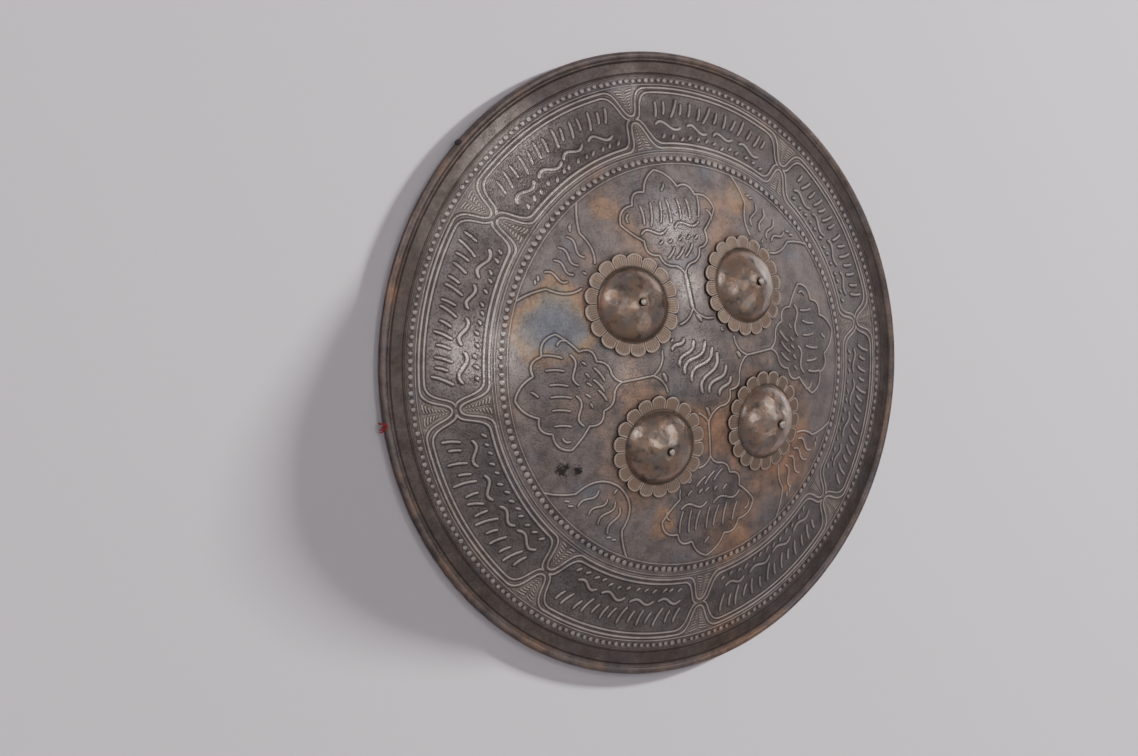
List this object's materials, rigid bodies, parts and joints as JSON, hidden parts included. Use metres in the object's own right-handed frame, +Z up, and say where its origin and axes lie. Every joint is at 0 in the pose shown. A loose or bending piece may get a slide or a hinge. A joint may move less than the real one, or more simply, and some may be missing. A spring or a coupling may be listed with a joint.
{
  "type": "buckler shield",
  "caption": "Round domed metal shield with rolled rim, chased border of framed panels, palmettes and raised scalloped bosses; held in one hand, or hung or laid for display.",
  "frame": {"origin": "on the floor under the middle of the dome, in the plane of the rim's underside", "axes": "+Z up out of the convex face; +Y towards one of the four palmettes, the one at the top in the picture"},
  "size_m": [0.45, 0.45, 0.0755],
  "materials": {
    "dish_metal": "patinated dark steel, chased, lines worn bright",
    "boss_metal": "hammered steel with a brown patina",
    "rivet_metal": "worn iron"
  },
  "bodies": {
    "root": {"shield_dish": "dish_metal", "boss_upper_right": "boss_metal", "boss_upper_left": "boss_metal", "boss_lower_left": "boss_metal", "boss_lower_right": "boss_metal", "rivet_upper_right": "rivet_metal", "rivet_upper_left": "rivet_metal", "rivet_lower_left": "rivet_metal", "rivet_lower_right": "rivet_metal"}
  },
  "joints": []
}
